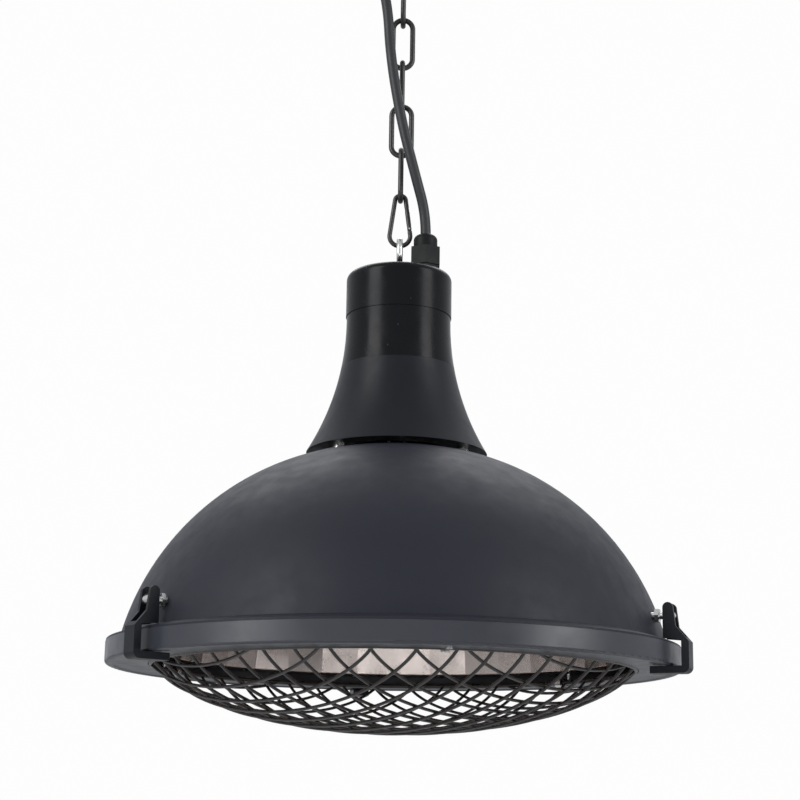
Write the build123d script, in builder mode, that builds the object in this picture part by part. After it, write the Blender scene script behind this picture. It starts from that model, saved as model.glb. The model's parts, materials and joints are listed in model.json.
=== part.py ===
from build123d import *
import os
from math import asin, cos, degrees, hypot, pi, radians, sin, sqrt, tan

# Hanging ceiling heater: a ceiling fitting, a chain of long links, a snap hook, and under it a
# heater with cap, collar, cone, dome, ring, reflector, ring lamp, wire guard and three clamps.
# Millimetres. The ceiling plane is z = 0, the axis of the heater is Z, the front faces -Y.

# Clearances
CONTACT_GAP = 0.08
SEAT_GAP = 0.05
RUN_GAP = 0.05

# Ceiling fitting
BRACKET_LENGTH = 76.0
BRACKET_WIDTH = 24.0
BRACKET_THICKNESS = 3.0
BRACKET_HOLE_SPACING = 52.0
BRACKET_HOLE_RADIUS = 2.75
ROSE_RADIUS = 46.0
ROSE_HEIGHT = 24.0
ROSE_WALL = 1.6
ROSE_EDGE = 5.0
RING_NUT_RADIUS = 8.0
RING_NUT_HEIGHT = 4.5
BUSH_X = -22.0
BUSH_Y = -10.0
BUSH_RADIUS = 6.5
BUSH_FLANGE = 2.2
CEILING_EYE_WIRE = 5.0
CEILING_EYE_DIAMETER = 26.0
CEILING_EYE_DROP = 56.0
CEILING_STUD_RADIUS = 3.0

# Chain
LINK_WIRE = 4.2
LINK_LENGTH = 45.6
LINK_WIDTH = 19.8
LINK_COUNT = 5

# Snap hook
SNAP_WIRE = 3.6
SNAP_LENGTH = 45.0
SNAP_WIDTH = 19.7
SNAP_TOP_WIDTH = 11.9
SNAP_HINGE_HEIGHT = 13.0
SNAP_GATE_LENGTH = 17.5
SNAP_PIN_RADIUS = 0.7
TAB_THICKNESS = 1.3
TAB_LENGTH = 3.2

# Eye bolt
EYE_WIRE = 4.8
EYE_DIAMETER = 26.0
EYE_STAND = 4.6
EYE_SHANK_RADIUS = 3.0
EYE_SLIT = 14.0
EYE_NUT_FLATS = 10.0
EYE_NUT_HEIGHT = 5.0
EYE_WASHER_RADIUS = 7.0
EYE_WASHER_THICKNESS = 1.2

# Cap, collar and cone
CAP_RADIUS = 40.6
CAP_HEIGHT = 34.8
CAP_WALL = 2.4
CAP_TOP = 3.0
CAP_EDGE = 6.0
NECK_RADIUS = 40.0
NECK_ARC = 200.0
NECK_STRAIGHT = 4.2
NECK_WALL = 2.4
COLLAR_HEIGHT = 40.2
FLARE_HEIGHT = 66.7
NECK_FLANGE = 3.0
NECK_FLANGE_BORE = 29.0
COLLAR_SCREW_CIRCLE = 34.0
VENT_FLANGE_BORE = 45.0
VENT_FLANGE_LIFT = 1.2
VENT_FLANGE = 2.4
VENT_SCREW_CIRCLE = 53.5
VENT_GAP = 3.5
SPACER_RADIUS = 5.0
SCREW_RADIUS = 2.0
SCREW_HOLE = 2.2
NUT_FLATS = 7.0
NUT_HEIGHT = 3.2

# Cable and its gland
CABLE_DIAMETER = 8.0
GLAND_X = 20.0
GLAND_Y = -4.0
GLAND_THREAD = 8.0
GLAND_FLATS = 22.0
GLAND_BASE = 6.0
GLAND_NUT = 14.5
GLAND_DOME = 11.0
GLAND_DOME_RADIUS = 9.2
GLAND_SEAL_RADIUS = 6.4
GLAND_LOCK_NUT = 4.5

# Dome
DOME_HEIGHT = 158.8
DOME_ARC = 190.8
DOME_ARC_OFFSET = 14.5
DOME_FOOT_RADIUS = 199.6
DOME_FOOT_HEIGHT = 20.0
DOME_WALL = 1.5
DOME_LIP_EDGE = 1.4
DOME_HOLE = 20.0

# Ring
RING_RADIUS = 210.0
RING_HEIGHT = 15.2
RING_WALL = 2.0
RING_BORE = 179.0
RING_FLANGE = 1.5
RING_BEAD = 5.0
RING_BEAD_DEPTH = 0.8
RING_EDGE = 2.0

# Reflector
REFLECTOR_SIDES = 36
REFLECTOR_WALL = 1.0
REFLECTOR_PROFILE = ((11.0, 174.0), (35.0, 171.0), (60.0, 161.0), (85.0, 143.0),
                     (105.0, 120.0), (120.0, 92.0), (130.0, 60.0))
REFLECTOR_FLANGE_RADIUS = 203.0
STAY_CIRCLE = 35.0
STAY_FLATS = 8.0

# Lamp
LAMP_RING_RADIUS = 95.0
LAMP_TUBE_RADIUS = 6.0
LAMP_HEIGHT = 75.0
LAMP_MOUTH = 30.0
LAMP_BEND = 14.0
LAMP_END_HEIGHT = 112.0
LAMP_CAP_RADIUS = 8.2
LAMP_CAP_LENGTH = 24.0
LAMP_SOCKET = 8.0
SUPPORT_WIRE = 1.2
SUPPORT_TOP = 124.0

# Wire guard
GRILLE_EDGE_RADIUS = 176.2
GRILLE_EDGE_WIRE = 2.0
GRILLE_EDGE_SIDES = 8
GRILLE_EDGE_HEIGHT = 1.6
GRILLE_DEPTH = 45.0
GRILLE_FULLNESS = 0.95
GRILLE_ARCS = 8
GRILLE_CROSS_GAP = 0.16
GRILLE_WIRE = 1.15
GRILLE_PITCH = 22.4
GRILLE_ANGLE = 50.0
GRILLE_SIDES = 6
GRILLE_END_GAP = 0.2
CLIP_WIDTH = 6.0
CLIP_START_ANGLE = 41.0
CLIP_THICKNESS = 1.2
CLIP_REACH = 14.0

# Clamps: radii grow from the ring's, heights are above the ring's bottom
CLAMP_START_ANGLE = -22.0
CLAMP_WIDTH = 13.0
CLAMP_PLATE = 2.5
CLAMP_TOP = 43.7
CLAMP_SPINE_GAP = 6.4
CLAMP_SPINE_DEPTH = 5.4
CLAMP_EAR_INSET = 6.3
CLAMP_EAR_WIDTH = 7.4
CLAMP_EAR_SPREAD = 1.6
CLAMP_SHOULDER_TOP = 27.0
CLAMP_SHOULDER_LOW = 16.5
CLAMP_WEB_TOP = 20.0
CLAMP_JAW_GAP = 1.2
CLAMP_JAW_SLOPE = 1.2
CLAMP_FOOT_REACH = 16.0
CLAMP_FOOT = 5.0
CLAMP_FOOT_GAP = 0.25
CLAMP_FOOT_ROUND = 1.4
CLAMP_CORNER_ROUND = 4.6
CLAMP_BEND_ROUND = 3.0
CLAMP_PIVOT_HEIGHT = 35.0
CLAMP_PIN_RADIUS = 2.0
CLAMP_PIN_RECESS = 0.1
LUG_RADIUS = 3.9
LUG_SIDE_GAP = 0.2
LUG_STUD_RADIUS = 2.5
LUG_STUD_INSIDE = 7.0
LUG_NUT_FLATS = 9.0
LUG_NUT_HEIGHT = 3.0
LUG_NUT_SLOPE = 0.45

# Heights worked out from the ceiling down
ceiling_bar_z = -CEILING_EYE_DROP
link_reach = LINK_LENGTH - LINK_WIRE
link_step = link_reach - LINK_WIRE - CONTACT_GAP
link_top_z = {
    number: ceiling_bar_z + (CEILING_EYE_WIRE + LINK_WIRE) / 2 + CONTACT_GAP
    - (LINK_COUNT - number) * link_step
    for number in range(1, LINK_COUNT + 1)
}
snap_top_z = link_top_z[1] - link_reach + (LINK_WIRE + SNAP_WIRE) / 2 + CONTACT_GAP
snap_bottom_z = snap_top_z - (SNAP_LENGTH - SNAP_WIRE)
eye_ring = (EYE_DIAMETER - EYE_WIRE) / 2
eye_z = snap_bottom_z + (SNAP_WIRE + EYE_WIRE) / 2 + CONTACT_GAP - eye_ring
cap_top_z = eye_z - EYE_DIAMETER / 2 - EYE_STAND
cap_bottom_z = cap_top_z - CAP_HEIGHT
collar_bottom_z = cap_bottom_z - COLLAR_HEIGHT
flare_bottom_z = collar_bottom_z - FLARE_HEIGHT
crown_z = flare_bottom_z - VENT_GAP
ring_z = crown_z - DOME_HEIGHT
ring_top_z = ring_z + RING_HEIGHT
neck_arc_z = cap_bottom_z - NECK_STRAIGHT
vent_flange_z = flare_bottom_z + VENT_FLANGE_LIFT
dome_foot_z = ring_z + DOME_FOOT_HEIGHT
dome_arc_z = dome_foot_z - sqrt(DOME_ARC**2 - (DOME_FOOT_RADIUS - DOME_ARC_OFFSET) ** 2)
gland_top_z = cap_top_z + GLAND_BASE + GLAND_NUT + GLAND_DOME
bush_bottom_z = -ROSE_HEIGHT - BUSH_FLANGE

UP = Vector(0, 0, 1)


def save(part, name):
    part.label = name
    export_step(part, f"parts/{name}.step")


def radial_plane(angle):
    """Sketch plane through the Z axis: its x runs outwards at this angle, its y runs up."""
    outwards = Vector(cos(radians(angle)), sin(radians(angle)), 0)
    return Plane(origin=(0, 0, 0), x_dir=outwards, z_dir=outwards.cross(UP))


def dome_radius(z, inset=0.0):
    """Radius of the dome's outer surface at a height, or of one inset from it."""
    return DOME_ARC_OFFSET + sqrt((DOME_ARC - inset) ** 2 - (z - dome_arc_z) ** 2)


def neck_radius(z, inset=0.0):
    """Radius of the concave neck at a height, or of a surface inset from it."""
    return NECK_RADIUS + NECK_ARC - sqrt((NECK_ARC + inset) ** 2 - (neck_arc_z - z) ** 2)


def neck_arc(z_from, z_to, inset=0.0):
    """Arc of the neck's section between two heights."""
    z_mid = (z_from + z_to) / 2
    return ThreePointArc(
        (neck_radius(z_from, inset), z_from),
        (neck_radius(z_mid, inset), z_mid),
        (neck_radius(z_to, inset), z_to),
    )


def hex_flats(flats):
    """Circumscribed radius of a hexagon with this size across flats."""
    return flats / 2 / cos(radians(30))


def clamp_angles():
    return [CLAMP_START_ANGLE + 120 * i for i in range(3)]


def make_ceiling_bracket():
    with BuildPart() as bracket:
        with BuildSketch(Plane.XY.offset(-BRACKET_THICKNESS)):
            SlotOverall(BRACKET_LENGTH, BRACKET_WIDTH)
            Circle(CEILING_STUD_RADIUS + RUN_GAP, mode=Mode.SUBTRACT)
            with GridLocations(BRACKET_HOLE_SPACING, 0, 2, 1):
                Circle(BRACKET_HOLE_RADIUS, mode=Mode.SUBTRACT)
        extrude(amount=BRACKET_THICKNESS)
    save(bracket.part, "ceiling_bracket")


def make_ceiling_eye():
    ring = (CEILING_EYE_DIAMETER - CEILING_EYE_WIRE) / 2
    centre_z = ceiling_bar_z + ring
    with BuildPart() as eye:
        with BuildSketch(Plane.XY.offset(centre_z)):
            with Locations((ring, 0)):
                Circle(CEILING_EYE_WIRE / 2)
        revolve(axis=Axis((0, 0, centre_z), (0, 1, 0)))
        with BuildSketch(Plane.XY.offset(centre_z + ring)):
            Circle(CEILING_STUD_RADIUS)
        extrude(until=None, amount=-(centre_z + ring) - SEAT_GAP * 10)
    save(eye.part, "ceiling_eye")


def make_eye_lock_nut():
    with BuildPart() as nut:
        with BuildSketch(Plane.XY.offset(-BRACKET_THICKNESS - SEAT_GAP - EYE_NUT_HEIGHT)):
            RegularPolygon(hex_flats(EYE_NUT_FLATS), 6)
            Circle(CEILING_STUD_RADIUS + RUN_GAP, mode=Mode.SUBTRACT)
        extrude(amount=EYE_NUT_HEIGHT)
    save(nut.part, "eye_lock_nut")


def make_ceiling_rose():
    with BuildPart() as rose:
        with BuildSketch(Plane.XZ):
            with BuildLine():
                Polyline(
                    (CEILING_STUD_RADIUS + RUN_GAP, -ROSE_HEIGHT),
                    (ROSE_RADIUS, -ROSE_HEIGHT),
                    (ROSE_RADIUS, 0),
                    (ROSE_RADIUS - ROSE_WALL, 0),
                    (ROSE_RADIUS - ROSE_WALL, ROSE_WALL - ROSE_HEIGHT),
                    (CEILING_STUD_RADIUS + RUN_GAP, ROSE_WALL - ROSE_HEIGHT),
                    close=True,
                )
            make_face()
        revolve(axis=Axis.Z)
        fillet(rose.edges().filter_by(GeomType.CIRCLE).group_by(Axis.Z)[0].sort_by(SortBy.RADIUS)[-1],
               radius=ROSE_EDGE)
        inner = rose.edges().filter_by(GeomType.CIRCLE).filter_by(
            lambda e: abs(e.center().Z - ROSE_WALL + ROSE_HEIGHT) < 0.01 and e.radius > ROSE_RADIUS / 2)
        fillet(inner, radius=ROSE_EDGE - ROSE_WALL)
        with BuildSketch(Plane.XY.offset(-ROSE_HEIGHT)):
            with Locations((BUSH_X, BUSH_Y)):
                Circle(BUSH_RADIUS + SEAT_GAP)
        extrude(amount=ROSE_WALL, mode=Mode.SUBTRACT)
    save(rose.part, "ceiling_rose")


def make_rose_ring_nut():
    with BuildPart() as nut:
        with BuildSketch(Plane.XY.offset(-ROSE_HEIGHT - SEAT_GAP - RING_NUT_HEIGHT)):
            Circle(RING_NUT_RADIUS)
            Circle(CEILING_STUD_RADIUS + RUN_GAP, mode=Mode.SUBTRACT)
        extrude(amount=RING_NUT_HEIGHT)
        chamfer(nut.edges().filter_by(GeomType.CIRCLE).group_by(Axis.Z)[0].sort_by(SortBy.RADIUS)[-1],
                length=RING_NUT_HEIGHT / 4)
    save(nut.part, "rose_ring_nut")


def make_rose_cable_bush():
    """Flanged bush in the rose; the cable's end meets its lower face."""
    waist = ROSE_WALL + 2 * SEAT_GAP
    with BuildPart() as bush:
        for z, height, radius in (
            (bush_bottom_z, BUSH_FLANGE - SEAT_GAP, BUSH_RADIUS + 1.5),
            (-ROSE_HEIGHT - SEAT_GAP, waist, BUSH_RADIUS),
            (ROSE_WALL - ROSE_HEIGHT + SEAT_GAP, BUSH_FLANGE, BUSH_RADIUS + 1.0),
        ):
            with BuildSketch(Plane.XY.offset(z)):
                with Locations((BUSH_X, BUSH_Y)):
                    Circle(radius)
            extrude(amount=height)
        with BuildSketch(Plane.XY.offset(bush_bottom_z)):
            with Locations((BUSH_X, BUSH_Y)):
                Circle(CABLE_DIAMETER / 2 + SEAT_GAP)
        extrude(amount=2 * BUSH_FLANGE + waist, mode=Mode.SUBTRACT)
    save(bush.part, "rose_cable_bush")


ROSE_BLOCK = (14.0, 22.0, 9.0)
ROSE_BLOCK_X = 15.0


def make_rose_terminal_block():
    length, width, height = ROSE_BLOCK
    with BuildPart() as block:
        with BuildSketch(Plane.XY.offset(-BRACKET_THICKNESS - SEAT_GAP - height)):
            with Locations((ROSE_BLOCK_X, 0)):
                RectangleRounded(length, width, 1.0)
                with GridLocations(0, width / 3, 1, 3):
                    Circle(1.6, mode=Mode.SUBTRACT)
        extrude(amount=height)
    save(block.part, "rose_terminal_block")


LEAD_RADIUS = 1.2
SHEATH_CORES = ((0.0, 1.8), (-1.6, -1.0), (1.6, -1.0))


def lead(points, radii):
    """One insulated core along straight runs with rounded corners."""
    with BuildPart() as core:
        with BuildLine() as path:
            FilletPolyline(*points, radius=radii)
        with BuildSketch(Plane(origin=path.line @ 0, z_dir=path.line % 0)):
            Circle(LEAD_RADIUS)
        sweep()
    return core.part


def make_rose_leads():
    """The cable's end inside the rose and its cores, which go in front of the stud to the block."""
    sheath_top = -ROSE_HEIGHT + ROSE_WALL + BUSH_FLANGE + 3.0
    entry_y = -ROSE_BLOCK[1] / 2 - SEAT_GAP
    entry_z = -BRACKET_THICKNESS - SEAT_GAP - ROSE_BLOCK[2] / 2
    with BuildPart() as sheath:
        with BuildSketch(Plane.XY.offset(bush_bottom_z)):
            with Locations((BUSH_X, BUSH_Y)):
                Circle(CABLE_DIAMETER / 2)
        extrude(amount=sheath_top - bush_bottom_z)
    solids = [sheath.part]
    for i, (dx, dy) in enumerate(SHEATH_CORES):
        x = ROSE_BLOCK_X + (i - 1) * ROSE_BLOCK[0] / 3
        start = Vector(BUSH_X + dx, BUSH_Y + dy, sheath_top + SEAT_GAP)
        turn = start + UP * (4.0 + 2.6 * (i + 1) % 7.8)
        front_y = entry_y - 2.0 - 4.0 * i
        solids.append(lead([start, turn, (x, front_y, entry_z), (x, entry_y, entry_z)], 1.3))
    group = Compound(children=solids)
    save(group, "rose_leads")


def make_link(number):
    """One long link, edge-on (YZ plane) for odd numbers and face-on (XZ plane) for even ones."""
    half = (LINK_WIDTH - LINK_WIRE) / 2
    top = link_top_z[number]
    straight = link_reach - 2 * half
    side = Plane.YZ if number % 2 else Plane.XZ
    with BuildPart() as link:
        with BuildLine(side) as path:
            low, high = top - half - straight, top - half
            left = Line((-half, low), (-half, high))
            over = ThreePointArc(left @ 1, (0, top), (half, high))
            right = Line(over @ 1, (half, low))
            ThreePointArc(right @ 1, (0, low - half), left @ 0)
        with BuildSketch(Plane(origin=path.line @ 0, z_dir=path.line % 0)):
            Circle(LINK_WIRE / 2)
        sweep()
    save(link.part, f"chain_link_{number}")


snap_top_radius = (SNAP_TOP_WIDTH - SNAP_WIRE) / 2
snap_bottom_radius = (SNAP_WIDTH - SNAP_WIRE) / 2
snap_top_centre = UP * (snap_top_z - snap_top_radius)
snap_bottom_centre = UP * (snap_bottom_z + snap_bottom_radius)
snap_lean = asin((snap_bottom_radius - snap_top_radius) / (snap_top_centre.Z - snap_bottom_centre.Z))
snap_normal = Vector(cos(snap_lean), 0, sin(snap_lean))
snap_mirrored = Vector(-cos(snap_lean), 0, sin(snap_lean))
snap_along = Vector(-sin(snap_lean), 0, cos(snap_lean))
snap_hinge = snap_bottom_centre + snap_normal * snap_bottom_radius + snap_along * (
    SNAP_HINGE_HEIGHT - snap_bottom_radius)
snap_nose = snap_hinge + snap_along * SNAP_GATE_LENGTH


def make_snap_hook():
    """Pear-shaped hook from the hinge tab round the bottom, up the back and over to the nose tab."""
    end_low = snap_hinge - snap_along * (SNAP_WIRE / 2 + 0.1)
    end_high = snap_nose + snap_along * 0.2
    with BuildPart() as hook:
        with BuildLine() as path:
            rise = Line(end_low, snap_bottom_centre + snap_normal * snap_bottom_radius)
            under = ThreePointArc(
                rise @ 1, snap_bottom_centre - UP * snap_bottom_radius,
                snap_bottom_centre + snap_mirrored * snap_bottom_radius)
            back = Line(under @ 1, snap_top_centre + snap_mirrored * snap_top_radius)
            over = ThreePointArc(
                back @ 1, snap_top_centre + UP * snap_top_radius, snap_top_centre + snap_normal * snap_top_radius)
            Line(over @ 1, end_high)
        with BuildSketch(Plane(origin=path.line @ 0, z_dir=path.line % 0)):
            Circle(SNAP_WIRE / 2)
        sweep()
        with BuildSketch(gate_plane(snap_hinge - snap_along * SNAP_WIRE)):
            Rectangle(TAB_THICKNESS, SNAP_WIRE * 0.8)
        extrude(amount=SNAP_WIRE * 1.45)
        with BuildSketch(gate_plane(snap_nose + snap_along * SNAP_WIRE)):
            Rectangle(TAB_THICKNESS, SNAP_WIRE * 0.7)
        extrude(amount=-(SNAP_WIRE + TAB_LENGTH))
        with BuildSketch(Plane.XZ):
            with Locations((snap_hinge.X, snap_hinge.Z)):
                Circle(SNAP_PIN_RADIUS + RUN_GAP)
        extrude(amount=SNAP_WIRE, both=True, mode=Mode.SUBTRACT)
    save(hook.part, "snap_hook")


def gate_plane(origin):
    """Plane square to the gate, with its sketch x along world Y."""
    return Plane(origin=origin, x_dir=(0, 1, 0), z_dir=snap_along)


def make_snap_gate():
    """Gate with a slot at each end, one over the hinge tab and one over the nose tab."""
    low = snap_hinge - snap_along * (SNAP_WIRE / 2 - 0.1)
    length = SNAP_GATE_LENGTH + SNAP_WIRE / 2 - 0.1
    with BuildPart() as gate:
        with BuildSketch(gate_plane(low)):
            Circle(SNAP_WIRE / 2)
        extrude(amount=length)
        with BuildSketch(gate_plane(low)):
            Rectangle(TAB_THICKNESS + 0.3, SNAP_WIRE * 1.1)
        extrude(amount=SNAP_WIRE + 0.6, mode=Mode.SUBTRACT)
        with BuildSketch(gate_plane(snap_nose)):
            Rectangle(TAB_THICKNESS + 0.3, SNAP_WIRE * 1.1)
        extrude(amount=-(TAB_LENGTH + 0.5), mode=Mode.SUBTRACT)
        with BuildSketch(Plane.XZ):
            with Locations((snap_hinge.X, snap_hinge.Z)):
                Circle(SNAP_PIN_RADIUS + RUN_GAP)
        extrude(amount=SNAP_WIRE, both=True, mode=Mode.SUBTRACT)
        with BuildSketch(gate_plane(snap_hinge - snap_along * SNAP_WIRE)):
            Rectangle(2 * SNAP_WIRE, 2 * SNAP_WIRE)
        extrude(amount=SNAP_WIRE, mode=Mode.SUBTRACT)
        with BuildSketch(Plane.XZ) as knuckle:
            with Locations((snap_hinge.X, snap_hinge.Z)):
                Circle(SNAP_WIRE / 2 - 0.1)
                Circle(SNAP_PIN_RADIUS + RUN_GAP, mode=Mode.SUBTRACT)
        extrude(amount=SNAP_WIRE / 2 - 0.3, both=True)
        with BuildSketch(gate_plane(snap_hinge - snap_along * SNAP_WIRE)):
            Rectangle(TAB_THICKNESS + 0.3, SNAP_WIRE * 1.1)
        extrude(amount=2 * SNAP_WIRE - 0.7, mode=Mode.SUBTRACT)
    save(gate.part, "snap_gate")


def make_snap_gate_pin():
    with BuildPart() as pin:
        with BuildSketch(Plane.XZ):
            with Locations((snap_hinge.X, snap_hinge.Z)):
                Circle(SNAP_PIN_RADIUS)
        extrude(amount=SNAP_WIRE / 2 - 0.2, both=True)
    save(pin.part, "snap_gate_pin")


eye_shank_end_z = cap_bottom_z - NECK_FLANGE - SEAT_GAP - EYE_NUT_HEIGHT - 4.0


def make_eye_bolt():
    """Wire bent to an eye with a slit beside the threaded shank."""
    with BuildPart() as bolt:
        start = Plane(
            origin=(0, eye_ring * sin(radians(EYE_SLIT)), eye_z - eye_ring * cos(radians(EYE_SLIT))),
            x_dir=(1, 0, 0), z_dir=(0, cos(radians(EYE_SLIT)), sin(radians(EYE_SLIT))))
        with BuildSketch(start):
            Circle(EYE_WIRE / 2)
        revolve(axis=Axis((0, 0, eye_z), (1, 0, 0)), revolution_arc=360 - EYE_SLIT)
        with BuildSketch(Plane.XY.offset(eye_shank_end_z)):
            Circle(EYE_SHANK_RADIUS)
        extrude(amount=eye_z - eye_ring - eye_shank_end_z)
    save(bolt.part, "eye_bolt")


def make_eye_washer():
    with BuildPart() as washer:
        with BuildSketch(Plane.XY.offset(cap_top_z + SEAT_GAP)):
            Circle(EYE_WASHER_RADIUS)
            Circle(EYE_SHANK_RADIUS + RUN_GAP, mode=Mode.SUBTRACT)
        extrude(amount=EYE_WASHER_THICKNESS)
    save(washer.part, "eye_washer")


def make_eye_nuts():
    """One nut under the cap's top and one under the collar's web."""
    heights = (cap_top_z - CAP_TOP - SEAT_GAP - EYE_NUT_HEIGHT,
               cap_bottom_z - NECK_FLANGE - SEAT_GAP - EYE_NUT_HEIGHT)
    with BuildPart() as nuts:
        for z in heights:
            with BuildSketch(Plane.XY.offset(z)):
                RegularPolygon(hex_flats(EYE_NUT_FLATS), 6)
                Circle(EYE_SHANK_RADIUS + RUN_GAP, mode=Mode.SUBTRACT)
            extrude(amount=EYE_NUT_HEIGHT)
    save(nuts.part, "eye_nuts")


def make_top_cap():
    inner = CAP_RADIUS - CAP_WALL
    with BuildPart() as cap:
        with BuildSketch(Plane.XY.offset(cap_bottom_z)):
            Circle(CAP_RADIUS)
        extrude(amount=CAP_HEIGHT)
        fillet(cap.edges().group_by(Axis.Z)[-1], radius=CAP_EDGE)
        with BuildSketch(Plane.XY.offset(cap_bottom_z)):
            Circle(inner)
        extrude(amount=CAP_HEIGHT - CAP_TOP, mode=Mode.SUBTRACT)
        with BuildSketch(Plane.XY.offset(cap_top_z)):
            Circle(EYE_SHANK_RADIUS + RUN_GAP)
            with Locations((GLAND_X, GLAND_Y)):
                Circle(GLAND_THREAD + RUN_GAP)
        extrude(amount=-CAP_TOP, mode=Mode.SUBTRACT)
    save(cap.part, "top_cap")


def make_collar():
    """Collar with a web on top that carries the eye bolt, and a flange at its foot."""
    top = cap_bottom_z - SEAT_GAP
    web = top - NECK_FLANGE
    foot = collar_bottom_z + SEAT_GAP
    inset = NECK_WALL
    spigot = CAP_RADIUS - CAP_WALL - SEAT_GAP
    with BuildPart() as collar:
        with BuildSketch(Plane.XZ):
            with BuildLine():
                outer = neck_arc(foot, neck_arc_z)
                rim = Polyline(
                    outer @ 1, (NECK_RADIUS, top), (spigot, top), (spigot, top + 6), (spigot - 2, top + 6),
                    (spigot - 2, top), (EYE_SHANK_RADIUS + RUN_GAP, top), (EYE_SHANK_RADIUS + RUN_GAP, web),
                    (NECK_RADIUS - inset, web), (NECK_RADIUS - inset, neck_arc_z))
                inner = neck_arc(neck_arc_z, foot + NECK_FLANGE, inset)
                Polyline(
                    inner @ 1, (NECK_FLANGE_BORE, foot + NECK_FLANGE), (NECK_FLANGE_BORE, foot), outer @ 0)
                Line(rim @ 1, inner @ 0)
            make_face()
        revolve(axis=Axis.Z)
        with BuildSketch(Plane.XY.offset(foot)):
            with PolarLocations(COLLAR_SCREW_CIRCLE, 3, start_angle=CLAMP_START_ANGLE):
                Circle(SCREW_HOLE)
        extrude(amount=NECK_FLANGE, mode=Mode.SUBTRACT)
        with BuildSketch(Plane.XY.offset(web)):
            with Locations(EARTH_SCREW_PLACE):
                Circle(SCREW_RADIUS + RUN_GAP)
            with Locations(GROMMET_PLACE):
                Circle(GROMMET_RADIUS + SEAT_GAP)
        extrude(amount=NECK_FLANGE, mode=Mode.SUBTRACT)
    save(collar.part, "collar")


def make_neck_flare():
    """Concave cone with a flange at each end."""
    top = collar_bottom_z
    with BuildPart() as flare:
        with BuildSketch(Plane.XZ):
            with BuildLine():
                outer = neck_arc(flare_bottom_z, top)
                Polyline(
                    outer @ 1, (NECK_FLANGE_BORE, top), (NECK_FLANGE_BORE, top - NECK_FLANGE),
                    (neck_radius(top - NECK_FLANGE, NECK_WALL), top - NECK_FLANGE))
                inner = neck_arc(top - NECK_FLANGE, vent_flange_z + VENT_FLANGE, NECK_WALL)
                Polyline(
                    inner @ 1, (VENT_FLANGE_BORE, vent_flange_z + VENT_FLANGE),
                    (VENT_FLANGE_BORE, vent_flange_z),
                    (neck_radius(vent_flange_z, NECK_WALL), vent_flange_z),
                    (neck_radius(flare_bottom_z, NECK_WALL), flare_bottom_z), outer @ 0)
            make_face()
        revolve(axis=Axis.Z)
        for z, circle in ((top - NECK_FLANGE, COLLAR_SCREW_CIRCLE), (vent_flange_z, VENT_SCREW_CIRCLE)):
            with BuildSketch(Plane.XY.offset(z)):
                with PolarLocations(circle, 3, start_angle=CLAMP_START_ANGLE):
                    Circle(SCREW_HOLE)
            extrude(amount=NECK_FLANGE, mode=Mode.SUBTRACT)
    save(flare.part, "neck_flare")


def screw_group(name, circle, head_z, end_z, head_radius=3.6, head_height=2.4, shank=SCREW_RADIUS):
    """Three pan-head screws on a circle, heads at head_z and shanks down or up to end_z."""
    sign = 1 if head_z > end_z else -1
    with BuildPart() as screws:
        with BuildSketch(Plane.XY.offset(head_z)):
            with PolarLocations(circle, 3, start_angle=CLAMP_START_ANGLE):
                Circle(head_radius)
        extrude(amount=sign * head_height)
        with BuildSketch(Plane.XY.offset(head_z)):
            with PolarLocations(circle, 3, start_angle=CLAMP_START_ANGLE):
                Circle(shank)
        extrude(amount=end_z - head_z)
    save(screws.part, name)


def nut_group(name, circle, z, flats=NUT_FLATS, height=NUT_HEIGHT, bore=SCREW_RADIUS):
    with BuildPart() as nuts:
        with BuildSketch(Plane.XY.offset(z)):
            with PolarLocations(circle, 3, start_angle=CLAMP_START_ANGLE):
                RegularPolygon(hex_flats(flats), 6)
                Circle(bore + RUN_GAP, mode=Mode.SUBTRACT)
        extrude(amount=height)
    save(nuts.part, name)


def make_neck_fasteners():
    collar_head = collar_bottom_z + SEAT_GAP + NECK_FLANGE + SEAT_GAP
    collar_nut = collar_bottom_z - NECK_FLANGE - SEAT_GAP - NUT_HEIGHT
    screw_group("collar_screws", COLLAR_SCREW_CIRCLE, collar_head, collar_nut - 1)
    nut_group("collar_nuts", COLLAR_SCREW_CIRCLE, collar_nut)
    vent_head = vent_flange_z + VENT_FLANGE + SEAT_GAP
    vent_nut = crown_z - DOME_WALL - SEAT_GAP - NUT_HEIGHT
    screw_group("vent_screws", VENT_SCREW_CIRCLE, vent_head, vent_nut - 1)
    nut_group("vent_nuts", VENT_SCREW_CIRCLE, vent_nut)


def make_vent_spacers():
    with BuildPart() as spacers:
        with BuildSketch(Plane.XY.offset(crown_z + SEAT_GAP)):
            with PolarLocations(VENT_SCREW_CIRCLE, 3, start_angle=CLAMP_START_ANGLE):
                Circle(SPACER_RADIUS)
                Circle(SCREW_RADIUS + RUN_GAP, mode=Mode.SUBTRACT)
        extrude(amount=vent_flange_z - crown_z - 2 * SEAT_GAP)
    save(spacers.part, "vent_spacers")


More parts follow.
